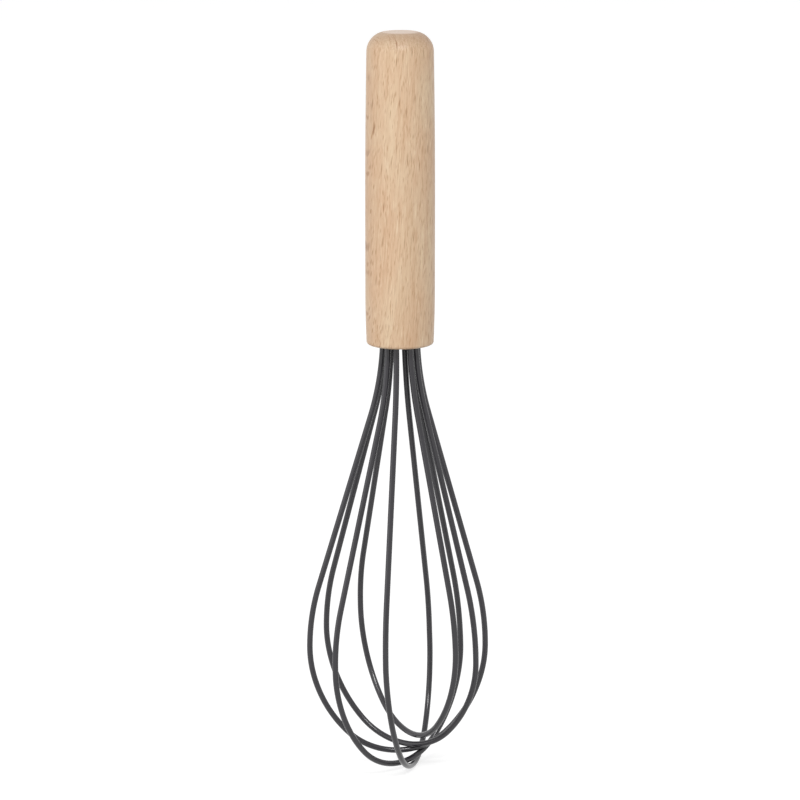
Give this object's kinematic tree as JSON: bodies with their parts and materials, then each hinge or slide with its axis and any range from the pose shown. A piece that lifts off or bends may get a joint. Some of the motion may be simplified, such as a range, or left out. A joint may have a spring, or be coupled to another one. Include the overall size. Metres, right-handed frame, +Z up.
{
  "type": "whisk",
  "caption": "Balloon whisk with a turned wooden handle and nested spring wire loops in silicone sleeves, crossing at the tip.",
  "frame": {"origin": "on the axis of the handle, at the height of the lowest point of the cage", "axes": "+Z up along the handle, from the tip of the cage to the top of the handle; +X to the right and -Y towards the viewer of the picture"},
  "size_m": [0.0672, 0.0698, 0.2745],
  "materials": {
    "beech": "turned, sanded smooth and oiled, satin",
    "silicone": "moulded, satin charcoal grey",
    "spring_steel": "drawn bright wire",
    "nylon": "moulded, matt dark grey",
    "epoxy": "cast, translucent amber"
  },
  "bodies": {
    "root": {"handle": "beech", "wire_holder": "nylon", "resin_fill": "epoxy", "wire_1": "spring_steel", "wire_2": "spring_steel", "wire_3": "spring_steel", "wire_4": "spring_steel", "wire_5": "spring_steel", "silicone_sleeve_1": "silicone", "silicone_sleeve_2": "silicone", "silicone_sleeve_3": "silicone", "silicone_sleeve_4": "silicone", "silicone_sleeve_5": "silicone"}
  },
  "joints": []
}
